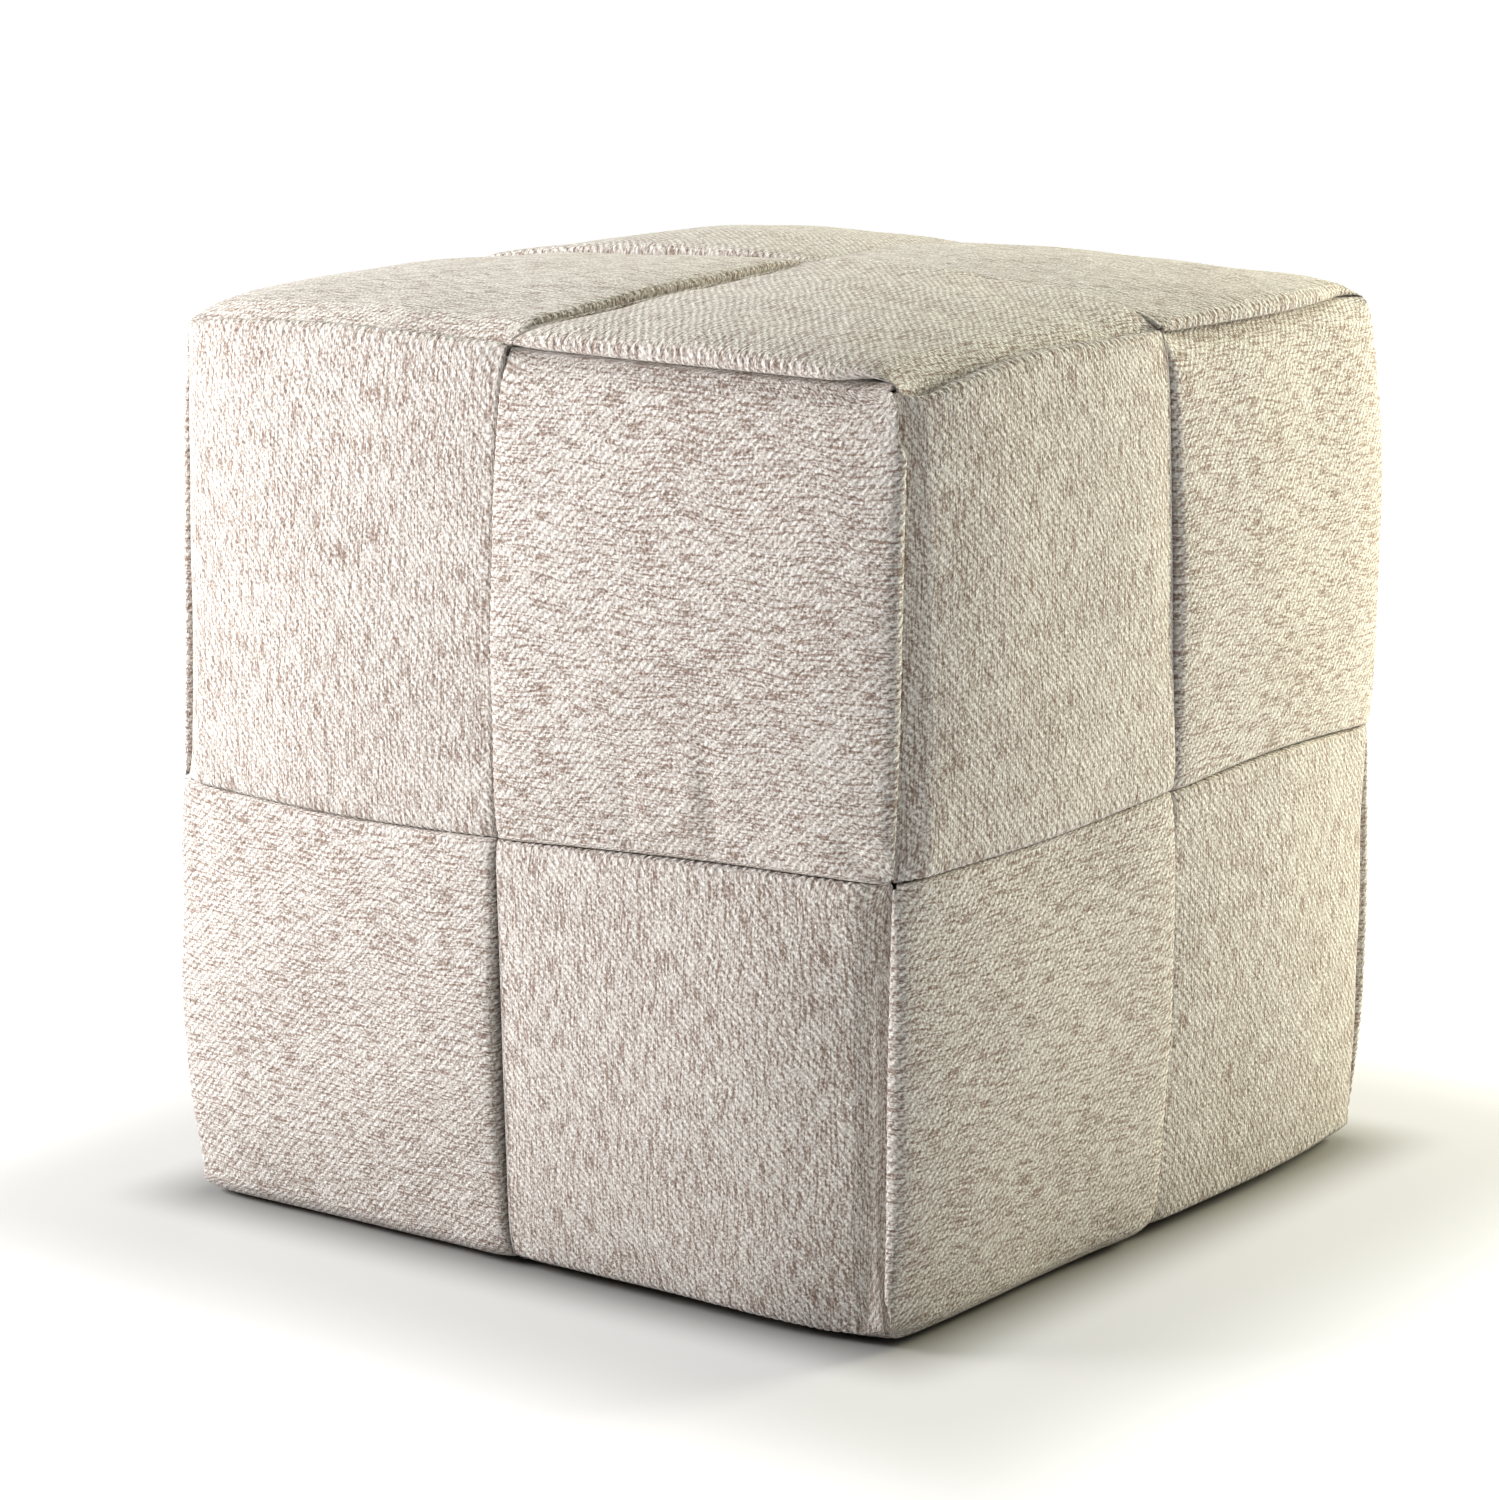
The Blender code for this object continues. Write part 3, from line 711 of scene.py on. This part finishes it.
def body_grids():
    """Points and quads of the plain filled body: an evenly spaced grid on each side of a cube. A
    point near an edge is drawn in to the edge's radius from the nearest point of the cube that is
    smaller by that radius, and the lower half is stretched down to the thin bands."""
    half = tuck_inner((1, 0, 0)) - BODY_GAP
    low = tuck_inner((0, 0, -1)) - BODY_GAP
    count = LINING_CELLS + 1
    steps = np.linspace(-1.0, 1.0, count)
    one, other = np.meshgrid(steps, steps, indexing="ij")
    row, column = np.meshgrid(np.arange(LINING_CELLS), np.arange(LINING_CELLS), indexing="ij")
    start = row * count + column
    grid = np.stack([start, start + count, start + count + 1, start + 1], axis=2).reshape(-1, 4)
    points = []
    quads = []
    for axis in range(3):
        for sign in (-1.0, 1.0):
            side = np.empty((count, count, 3))
            side[..., axis] = sign
            side[..., (axis + 1) % 3] = one if sign > 0 else other
            side[..., (axis + 2) % 3] = other if sign > 0 else one
            quads.append(grid + len(points) * count * count)
            points.append(side.reshape(-1, 3))
    cube = np.vstack(points) * half
    core = np.clip(cube, -(half - BODY_ROUND), half - BODY_ROUND)
    away = cube - core
    length = np.maximum(np.linalg.norm(away, axis=1, keepdims=True), TINY)
    rounded = np.where(length > BODY_ROUND, core + away / length * BODY_ROUND, cube)
    rounded[:, 2] = np.where(rounded[:, 2] < 0, rounded[:, 2] * low / half, rounded[:, 2])
    return rounded, np.vstack(quads)


def weld(mesh):
    """Join the points that lie together where the six sides meet."""
    source = bmesh.new()
    source.from_mesh(mesh)
    bmesh.ops.remove_doubles(source, verts=source.verts, dist=WELD_DISTANCE)
    bmesh.ops.recalc_face_normals(source, faces=source.faces)
    source.to_mesh(mesh)
    source.free()


def turn_outwards(mesh):
    """Flip the faces if the mesh's signed volume says that they point inwards. The volume is the
    sum over two triangles to a quad of the box product of their corners."""
    count = len(mesh.polygons)
    corners = np.empty(count * 4, np.int32)
    mesh.polygons.foreach_get("vertices", corners)
    places = np.empty(len(mesh.vertices) * 3, np.float32)
    mesh.vertices.foreach_get("co", places)
    quads = places.reshape(-1, 3)[corners.reshape(-1, 4)].astype(float)
    a, b, c, d = (quads[:, i] for i in range(4))
    volume = (np.cross(a, b) * c).sum() + (np.cross(a, c) * d).sum()
    if volume < 0:
        mesh.flip_normals()


def add_piece(name, mesh, material, node):
    """A finished padded piece that rides on the stool and stands for its node."""
    turn_outwards(mesh)
    mesh.shade_smooth()
    mesh.materials.append(material)
    piece = bpy.data.objects.new(name, mesh)
    bpy.context.scene.collection.objects.link(piece)
    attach(piece, "root")
    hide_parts(node)


class NodeSheet:
    """A material's node tree, with short calls to add nodes and link them."""

    def __init__(self, name):
        self.material = bpy.data.materials.new(name)
        self.material.use_nodes = True
        self.tree = self.material.node_tree
        self.shader = self.tree.nodes["Principled BSDF"]

    def add(self, kind, inputs=(), **settings):
        """Add a node, with its settings, and its inputs as (name or number, value or socket)."""
        node = self.tree.nodes.new(kind)
        for setting, value in settings.items():
            setattr(node, setting, value)
        for key, value in inputs:
            self.feed(node, key, value)
        return node

    def feed(self, node, key, value):
        """Set an input to a value, or link it from a socket."""
        if isinstance(value, bpy.types.NodeSocket):
            self.tree.links.new(value, node.inputs[key])
        else:
            node.inputs[key].default_value = value

    def math(self, operation, one, other=0.5, third=0.5):
        """The result of a Math node."""
        node = self.add("ShaderNodeMath", [(0, one), (1, other), (2, third)], operation=operation)
        return node.outputs[0]

    def total(self, patterns, shares):
        """The sum of the named patterns, each times its share."""
        result = 0.0
        for name, share in shares.items():
            result = self.math("MULTIPLY_ADD", patterns[name], share, result)
        return result

    def noise(self, vector, sizes, detail, roughness=0.5, output="Fac"):
        """Noise with features of a size in each direction, of which the third may be left out."""
        scale = [1 / size for size in sizes] + [1.0] * (3 - len(sizes))
        scaled = self.add("ShaderNodeVectorMath", [(0, vector), (1, scale)], operation="MULTIPLY")
        node = self.add("ShaderNodeTexNoise", [("Vector", scaled.outputs[0]), ("Scale", 1.0),
                                               ("Detail", detail), ("Roughness", roughness)])
        return node.outputs[output]

    def ramp(self, value, low, high):
        """0 below the low value, 1 above the high one, and smooth between them."""
        node = self.add("ShaderNodeMapRange", [(0, value), (1, low), (2, high)],
                        interpolation_type="SMOOTHSTEP")
        return node.outputs[0]

    def mix(self, share, one, other, blend="MIX"):
        """Two colours mixed by a share."""
        node = self.add("ShaderNodeMix", [(0, share), (6, one), (7, other)], data_type="RGBA",
                        blend_type=blend)
        return node.outputs[2]

    def finish(self, **values):
        """The finished material, with the shader's inputs set or linked."""
        for key, value in values.items():
            self.feed(self.shader, key.replace("_", " "), value)
        return self.material


def stitch_patterns(sheet, along, across):
    """Each stitch's own tone, the distance from its middle, and the twill. The stitches are cells
    of a Voronoi pattern, one yarn wide and one stitch long, leaned by the slant. The twill is half
    of one plus a sine wave across its slanted ridges."""
    leaned = sheet.math("MULTIPLY_ADD", across, STITCH_SLANT, along)
    place = sheet.add("ShaderNodeCombineXYZ", [(0, leaned), (1, across)]).outputs[0]
    stitches = sheet.add("ShaderNodeTexVoronoi", [("Vector", place), ("Scale", 1.0),
                                                  ("Randomness", STITCH_RANDOM)])
    tone = sheet.add("ShaderNodeSeparateXYZ", [(0, stitches.outputs["Color"])]).outputs[0]
    turn = sheet.math("MULTIPLY_ADD", across, 2 * math.pi * STITCH_LENGTH / TWILL_REPEAT,
                      sheet.math("MULTIPLY", along, 2 * math.pi / YARNS_TO_RIB))
    twill = sheet.math("MULTIPLY_ADD", sheet.math("SINE", turn), 0.5, 0.5)
    return tone, stitches.outputs["Distance"], twill


def chenille_material(name, colours, sizes, offset):
    """Twill of chenille yarn on the band's own map, in metres along the band and across it. The
    yarns run across the band in slanted stitches whose places wobble. Ivory turns to taupe in thin
    streaks along the yarns, in longer runs over several, in wide patches and by each stitch's own
    tone. The pile is high at the middle of a stitch and on the twill's ridges. Painted light is
    multiplied into the colour: a painted highlight on the top of the pile, painted shade in its
    hollows, the twill's troughs and dark specks, and each stitch's random tone."""
    sheet = NodeSheet(name)
    yarn = sizes.rib_pitch / YARNS_TO_RIB
    lay = sheet.add("ShaderNodeUVMap", uv_map="cloth_lay").outputs["UV"]
    lay = sheet.add("ShaderNodeVectorMath", [(0, lay), (1, offset)], operation="ADD").outputs[0]
    wobble = sheet.noise(lay, WOBBLE_SIZE, 2.0, output="Color")
    reach = (WOBBLE[0] * yarn, WOBBLE[1] * yarn, 0.0)
    moved = sheet.add("ShaderNodeVectorMath", [(0, wobble), (1, reach), (2, lay)],
                      operation="MULTIPLY_ADD").outputs[0]
    sides = sheet.add("ShaderNodeSeparateXYZ", [(0, moved)]).outputs
    along = sheet.math("MULTIPLY", sides[0], 1 / yarn)
    across = sheet.math("MULTIPLY", sides[1], 1 / STITCH_LENGTH)
    tone, from_middle, twill = stitch_patterns(sheet, along, across)
    pile = sheet.math("MULTIPLY_ADD", from_middle, -STITCH_PILE, STITCH_PILE)
    pile = sheet.math("MULTIPLY_ADD", twill, TWILL_PILE, pile)
    patterns = {
        "tone": tone,
        "twill": twill,
        "painted_tip_highlight": sheet.ramp(pile, *TIP_RAMP),
        "streaks": sheet.noise(lay, STREAK_SIZE, 1.0, 0.6),
        "runs": sheet.noise(moved, (RUN_SIZE[0] * yarn, RUN_SIZE[1]), 1.0),
        "patches": sheet.noise(lay, PATCH_SIZE, 2.0),
        "specks": sheet.ramp(sheet.noise(lay, SPECK_SIZE, 1.0, 0.6), *SPECK_RAMP),
    }
    taupe_share = sheet.ramp(sheet.total(patterns, TAUPE_SHARES), *TAUPE_RAMP)
    colour = sheet.mix(taupe_share, (*colours.ivory, 1.0), (*colours.taupe, 1.0))
    # Painted light and shade, multiplied into the colour: a painted highlight on the top of the
    # pile, painted shade in the hollows, the twill's troughs and dark specks, and each stitch's
    # random tone.
    shade = sheet.mix(sheet.total(patterns, PAINTED_LIGHT_SHARES), PAINTED_HOLLOW_SHADE, WHITE)
    colour = sheet.mix(1.0, colour, shade, blend="MULTIPLY")
    bump = sheet.add("ShaderNodeBump", [("Height", pile), ("Strength", 1.0),
                                        ("Distance", PILE_RELIEF)])
    return sheet.finish(Base_Color=colour, Normal=bump.outputs[0], Roughness=0.92,
                        Specular_IOR_Level=0.2, Sheen_Weight=0.2, Sheen_Roughness=0.45)


def lining_material(colours):
    """Plain lining cloth on the filled body: fine threads as a bump, and a soft mottle."""
    sheet = NodeSheet("body_lining")
    place = sheet.add("ShaderNodeTexCoord").outputs["Object"]
    mottle = sheet.noise(place, (LINING_MOTTLE,) * 3, 3.0)
    threads = sheet.add("ShaderNodeTexVoronoi", [("Vector", place), ("Scale", LINING_THREADS)])
    dark = tuple(LINING_DARK * value for value in colours.lining)
    colour = sheet.mix(mottle, (*dark, 1.0), (*colours.lining, 1.0))
    bump = sheet.add("ShaderNodeBump", [("Height", threads.outputs["Distance"]),
                                        ("Strength", 0.5), ("Distance", LINING_RELIEF)])
    return sheet.finish(Base_Color=colour, Normal=bump.outputs[0], Roughness=0.95)


def floor_material(colours):
    """Plain floor with painted light: it glows though it is no lamp, and the glow stays low next
    to the stool as a painted shadow round its base. Its glow grows in two smooth ramps on the
    distance from the stool, which is the larger of the distances both ways with its corner
    rounded."""
    sheet = NodeSheet("painted_glow_floor")
    place = sheet.add("ShaderNodeTexCoord").outputs["Object"]
    sides = sheet.add("ShaderNodeSeparateXYZ", [(0, place)]).outputs
    sides = [sheet.math("ABSOLUTE", side) for side in sides[:2]]
    distance = sheet.math("SMOOTH_MAX", *sides, GLOW_CORNER)
    # Painted light: the floor glows though it is no lamp, and the glow stays low next to the stool
    # as a painted shadow round its base.
    near = sheet.math("MULTIPLY", sheet.ramp(distance, *GLOW_NEAR), GLOW_NEAR_SHARE)
    glow = sheet.math("MULTIPLY_ADD", sheet.ramp(distance, *GLOW_FAR), 1 - GLOW_NEAR_SHARE, near)
    return sheet.finish(Base_Color=(*colours.floor, 1.0), Emission_Color=WHITE,
                        Emission_Strength=glow, Roughness=0.6, Specular_IOR_Level=0.2)


def build_band(band, sizes, colours):
    """A closed ribbed tube of cloth that follows one band's path over and under the others."""
    points = band_points(band, sizes)
    along = np.arange(len(points) + 1) * sizes.rib_pitch / COURSE_SAMPLES
    mesh = closed_grid_mesh(band.name + "_cloth", points, along, across_lengths())
    number = BANDS.index(band)
    offset = (CLOTH_STEP[0] * sizes.rib_pitch * number, CLOTH_STEP[1] * number, 0.0)
    material = chenille_material(band.name + "_chenille", colours, sizes, offset)
    add_piece(band.name + "_cloth", mesh, material, band.name)


def build_body(colours):
    """The filled body inside the bands: its six grids, swollen as the bands are and joined."""
    points, quads = body_grids()
    mesh = bpy.data.meshes.new("filled_body_lining")
    mesh.from_pydata(swollen(points).tolist(), [], quads.tolist())
    weld(mesh)
    add_piece("filled_body_lining", mesh, lining_material(colours),
              "filled_body")


def add_floor(colours):
    """A wide flat floor, level with the underside of the stool."""
    half = FLOOR_HALF
    mesh = bpy.data.meshes.new("stage_floor")
    corners = [(-half, -half, 0.0), (half, -half, 0.0), (half, half, 0.0), (-half, half, 0.0)]
    mesh.from_pydata(corners, [], [(0, 1, 2, 3)])
    mesh.materials.append(floor_material(colours))
    floor = bpy.data.objects.new("stage_floor", mesh)
    bpy.context.scene.collection.objects.link(floor)


def add_lights():
    """Soft square lamps, all turned to one point, and an even white surround."""
    scene = bpy.context.scene
    for light in LIGHTS:
        lamp = bpy.data.lights.new(light.name, "AREA")
        lamp.energy = light.power
        lamp.color = light.colour
        lamp.size = light.size
        holder = bpy.data.objects.new(light.name, lamp)
        holder.location = light.place
        direction = Vector(LIGHT_AIM) - Vector(light.place)
        holder.rotation_euler = direction.to_track_quat("-Z", "Y").to_euler()
        scene.collection.objects.link(holder)
    world = bpy.data.worlds.new("studio")
    world.use_nodes = True
    background = world.node_tree.nodes["Background"]
    background.inputs["Color"].default_value = WHITE
    background.inputs["Strength"].default_value = WORLD_STRENGTH
    scene.world = world
    scene.view_settings.view_transform = "Standard"


def add_camera():
    """A camera that looks at the stool from its front right corner, a little from above."""
    yaw, pitch, roll = (math.radians(turn) for turn in (VIEW_YAW, VIEW_PITCH, VIEW_ROLL))
    back = Vector((math.sin(yaw) * math.cos(pitch), -math.cos(yaw) * math.cos(pitch),
                   math.sin(pitch)))
    level = Vector((math.cos(yaw), math.sin(yaw), 0.0))
    raised = back.cross(level)
    right = level * math.cos(roll) + raised * math.sin(roll)
    upward = raised * math.cos(roll) - level * math.sin(roll)
    lens = bpy.data.cameras.new("photo_view")
    lens.sensor_width = SENSOR_WIDTH
    lens.lens = FOCAL_PIXELS * SENSOR_WIDTH / PHOTO_LONG_SIDE
    camera = bpy.data.objects.new("photo_view", lens)
    place = Matrix((right, upward, back)).transposed().to_4x4()
    place.translation = (level * VIEW_SIDEWAYS + Vector((0.0, 0.0, VIEW_HEIGHT))
                         + back * VIEW_DISTANCE)
    camera.matrix_world = place
    bpy.context.scene.collection.objects.link(camera)
    bpy.context.scene.camera = camera


class POUF_OT_make_body(bpy.types.Operator):
    """Make the filled body inside the bands"""
    bl_idname = "pouf.make_body"
    bl_label = "Make Filled Body"

    def execute(self, context):
        build_body(context.scene.pouf_colours)
        return {"FINISHED"}


class POUF_OT_make_bands(bpy.types.Operator):
    """Make the six woven cloth bands"""
    bl_idname = "pouf.make_bands"
    bl_label = "Make Cloth Bands"

    def execute(self, context):
        for band in BANDS:
            build_band(band, context.scene.pouf_sizes, context.scene.pouf_colours)
        return {"FINISHED"}


class POUF_OT_make_stage(bpy.types.Operator):
    """Make the floor, the lights and the camera"""
    bl_idname = "pouf.make_stage"
    bl_label = "Make Stage"

    def execute(self, context):
        add_floor(context.scene.pouf_colours)
        add_lights()
        add_camera()
        return {"FINISHED"}


OPERATORS = (POUF_OT_make_body, POUF_OT_make_bands, POUF_OT_make_stage)


class POUF_PT_panel(bpy.types.Panel):
    """Sizes, colours and operators of the woven band pouf"""
    bl_idname = "POUF_PT_panel"
    bl_label = "Woven Band Pouf"
    bl_space_type = "VIEW_3D"
    bl_region_type = "UI"
    bl_category = "Pouf"

    def draw(self, context):
        layout = self.layout
        for group in (context.scene.pouf_sizes, context.scene.pouf_colours):
            for name in group.__annotations__:
                layout.prop(group, name)
        for operator in OPERATORS:
            layout.operator(operator.bl_idname)


CLASSES = (PoufSizes, PoufColours, *OPERATORS, POUF_PT_panel)


def register():
    """Add the classes, and the two groups of values to each scene."""
    for entry in CLASSES:
        bpy.utils.register_class(entry)
    bpy.types.Scene.pouf_sizes = PointerProperty(type=PoufSizes)
    bpy.types.Scene.pouf_colours = PointerProperty(type=PoufColours)


def unregister():
    """Take out what register adds."""
    del bpy.types.Scene.pouf_colours
    del bpy.types.Scene.pouf_sizes
    for entry in reversed(CLASSES):
        bpy.utils.unregister_class(entry)


def main():
    """Make the whole scene."""
    register()
    bpy.ops.pouf.make_body()
    bpy.ops.pouf.make_bands()
    bpy.ops.pouf.make_stage()


if __name__ == "__main__":
    main()
